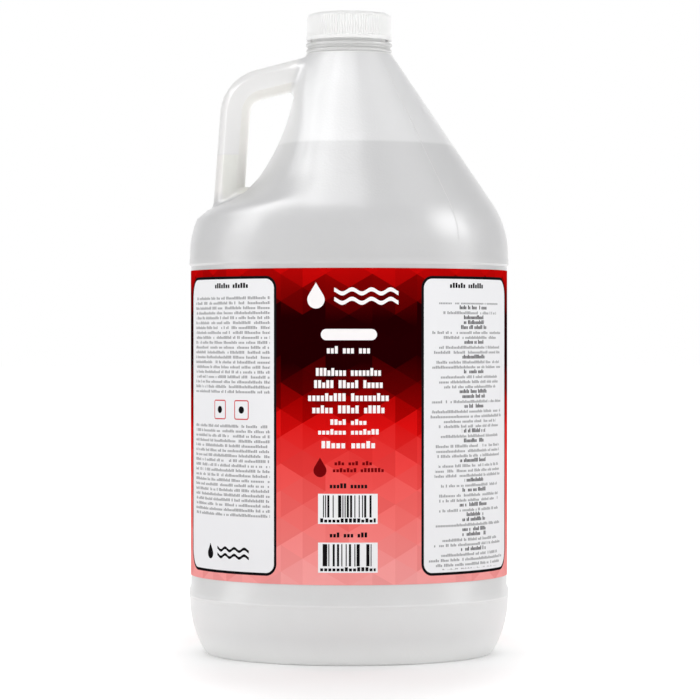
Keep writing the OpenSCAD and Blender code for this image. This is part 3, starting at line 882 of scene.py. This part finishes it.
WORLD_LEVEL = 0.46
BACKDROP_LEVEL = 1.1
# The backdrop starts and ends at these shares of the way from sideways to straight behind.
BACKDROP_EDGE = (0.75, 0.95)
BANK_AIM = (0, 0, 0.25)

FLOOR_SIZE = 30
FLOOR_TONE = (0.88, 0.88, 0.88, 1)
# The floor's own light: its level at the foot, then distances in millimetres over which it
# changes, and the level that it changes to
FOOT_GLOW = 0.1
FLOOR_GLOWS = [((30, 42), 0.14), ((60, 110), 0.36), ((150, 900), 0.6)]
# Depth counts less than width, so the dim place at the foot, a painted shadow, is drawn out towards
# the camera.
DEPTH_SHARE = 0.12


def soft_box(name, place, aim, size, radiance):
    """A soft box at a place, turned towards a point. Its size is its width and height in metres."""
    data = bpy.data.lights.new(name, "AREA")
    data.shape = "RECTANGLE"
    data.size = size[0]
    data.size_y = size[1]
    data.energy = radiance * math.pi * size[0] * size[1]
    box = bpy.data.objects.new(name, data)
    box.location = place
    box.rotation_euler = (Vector(aim) - Vector(place)).to_track_quat("-Z", "Y").to_euler()
    bpy.context.scene.collection.objects.link(box)
    return box


def light_the_studio():
    """Boxes that glint in the plastic, at the sides and overhead, and fills that don't."""
    glints = [
        soft_box("left_low_box", (-1.25, -0.1, 0.28), (0, 0, 0.28), (0.6, 0.55), 1.45),
        soft_box("left_high_box", (-1.25, -0.1, 0.9), (0, 0, 0.9), (0.6, 0.65), 2.8),
        soft_box("right_low_box", (1.25, -0.1, 0.28), (0, 0, 0.28), (0.6, 0.55), 1.25),
        soft_box("right_high_box", (1.25, -0.1, 0.9), (0, 0, 0.9), (0.65, 0.7), 4.3),
        soft_box("bank_end", (-1.4, 0.11, 1.46), BANK_AIM, (0.6, 0.25), 5.0),
        soft_box("bank_left", (-1.13, -0.25, 1.69), BANK_AIM, (0.55, 0.55), 4.9),
        soft_box("bank_middle", (-0.6, -0.6, 1.88), BANK_AIM, (0.6, 0.6), 4.5),
        soft_box("bank_right", (0.02, -0.74, 1.93), BANK_AIM, (0.5, 0.6), 2.7),
        soft_box("bank_far", (1.07, -0.15, 1.75), BANK_AIM, (0.9, 0.7), 0.6),
        soft_box("bank_back", (-1.41, 0.57, 1.3), BANK_AIM, (0.45, 0.16), 4.0),
    ]
    for glint in glints:
        glint.visible_diffuse = False
    # These light the pieces and the floor, and don't show as glints.
    fills = [
        soft_box("left_fill", (-1.9, -1.9, 1.0), (0, 0, 0.15), (1.6, 1.6), 1.9),
        soft_box("right_fill", (1.9, -1.9, 1.0), (0, 0, 0.15), (1.6, 1.6), 1.9),
        soft_box("top_fill", (0, 0, 2.6), (0, 0, 0), (2.4, 2.4), 1.1),
        soft_box("back_fill", (0, 1.3, 2.2), (0, 0, 0), (2.4, 1.6), 0.9),
        # Two small ones stand for the light that comes through the walls into the finger hole.
        soft_box("grip_fill", (-0.043, 0, 0.24), (-0.06, 0, 0.24), (0.02, 0.05), 0.4),
        soft_box("arm_fill", (-0.036, 0, 0.257), (-0.036, 0.0001, 0.27), (0.018, 0.016), 0.5),
    ]
    for fill in fills:
        fill.visible_glossy = False
        fill.visible_camera = False


def white_world():
    """White to the camera. The pieces see a dimmer room and a white backdrop straight behind."""
    world = bpy.data.worlds.new("studio")
    tree = Tree(world)
    bpy.context.scene.world = world
    seen = tree.node("LightPath", output="Is Camera Ray")
    direction = tree.node("TexCoord", output="Generated")
    towards = tree.node("SeparateXYZ", inputs={0: direction}, output=1)
    reach = {"Value": towards, "From Min": BACKDROP_EDGE[0], "From Max": BACKDROP_EDGE[1]}
    behind = tree.node("MapRange", {"interpolation_type": "SMOOTHSTEP"}, reach)
    lit = WORLD_LEVEL + behind * (BACKDROP_LEVEL - WORLD_LEVEL)
    background = tree.nodes["Background"]
    background.inputs["Color"].default_value = (1, 1, 1, 1)
    tree.feed(background.inputs["Strength"], seen + (1 - seen) * lit)


def pale_floor():
    """A wide floor, lit like a table near the bottle, that melts into the backdrop farther off."""
    deselect()
    bpy.ops.mesh.primitive_plane_add(size=FLOOR_SIZE)
    floor = bpy.context.active_object
    floor.name = "floor"
    shader = Shader(
        "pale_floor",
        Base_Color=FLOOR_TONE,
        Roughness=1.0,
        Specular_IOR_Level=0.0,
        Emission_Strength=1.0,
    )
    far = (shader.x * shader.x + shader.y * shader.y * DEPTH_SHARE).root()
    glow = grey(FOOT_GLOW)
    for reach, level in FLOOR_GLOWS:
        glow = shader.mix(shader.smooth(far, *reach), glow, grey(level))
    shader.set(Emission_Color=glow)
    floor.data.materials.append(shader.material)


def set_camera():
    data = bpy.data.cameras.new("camera")
    data.sensor_width = SENSOR_MM
    data.lens = FOCAL_PIXELS / IMAGE_PIXELS * SENSOR_MM
    camera = bpy.data.objects.new("camera", data)
    bpy.context.scene.collection.objects.link(camera)
    camera.location = (CAMERA_SIDE, -CAMERA_DISTANCE, CAMERA_HEIGHT)
    aim = Vector((CAMERA_SIDE, 0, AIM_HEIGHT))
    camera.rotation_euler = (aim - camera.location).to_track_quat("-Z", "Y").to_euler()
    bpy.context.scene.camera = camera


set_camera()
build_pieces()
light_the_studio()
white_world()
pale_floor()
bpy.context.scene.view_settings.view_transform = "Standard"
